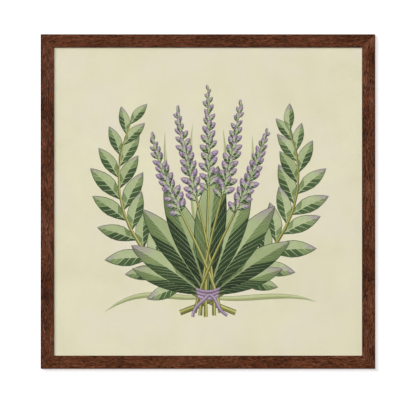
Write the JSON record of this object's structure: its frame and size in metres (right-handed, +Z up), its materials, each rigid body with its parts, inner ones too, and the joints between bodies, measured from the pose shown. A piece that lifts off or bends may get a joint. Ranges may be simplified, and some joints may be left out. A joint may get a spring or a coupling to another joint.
{
  "type": "framed art print",
  "caption": "Square picture in a flat mitred walnut frame, with glass, a botanical print, a backing board and a sawtooth hanger, for hanging on a wall.",
  "frame": {"origin": "on the wall's surface, straight behind the top of the sawtooth hanger's middle notch, where the hanging nail carries the picture", "axes": "+Z up, the picture faces -Y, and the wall is the plane Y = 0"},
  "size_m": [0.4826, 0.0286, 0.4825],
  "materials": {
    "walnut": "satin walnut stain, straight grain, mitred corners",
    "picture_glass": "clear 2 mm picture glass",
    "printed_paper": "matt cream art paper with a printed botanical design",
    "hardboard": "brown pressed fibre board",
    "zinc_steel": "zinc-plated spring steel",
    "brassed_steel": "brass-plated steel",
    "bumper_rubber": "soft grey rubber"
  },
  "bodies": {
    "root": {"rail_top": "walnut", "retaining_point_top_1": "zinc_steel", "retaining_point_top_2": "zinc_steel", "retaining_point_top_3": "zinc_steel", "rail_right": "walnut", "retaining_point_right_1": "zinc_steel", "retaining_point_right_2": "zinc_steel", "retaining_point_right_3": "zinc_steel", "rail_bottom": "walnut", "retaining_point_bottom_1": "zinc_steel", "retaining_point_bottom_2": "zinc_steel", "retaining_point_bottom_3": "zinc_steel", "rail_left": "walnut", "retaining_point_left_1": "zinc_steel", "retaining_point_left_2": "zinc_steel", "retaining_point_left_3": "zinc_steel", "corner_nail_top_left_outer": "zinc_steel", "corner_nail_top_left_inner": "zinc_steel", "corner_nail_top_right_outer": "zinc_steel", "corner_nail_top_right_inner": "zinc_steel", "corner_nail_bottom_right_outer": "zinc_steel", "corner_nail_bottom_right_inner": "zinc_steel", "corner_nail_bottom_left_outer": "zinc_steel", "corner_nail_bottom_left_inner": "zinc_steel", "glazing": "picture_glass", "print": "printed_paper", "backing_board": "hardboard", "hanger": "brassed_steel", "hanger_brad_left": "brassed_steel", "hanger_brad_right": "brassed_steel", "bumper_left": "bumper_rubber", "bumper_right": "bumper_rubber"}
  },
  "joints": []
}
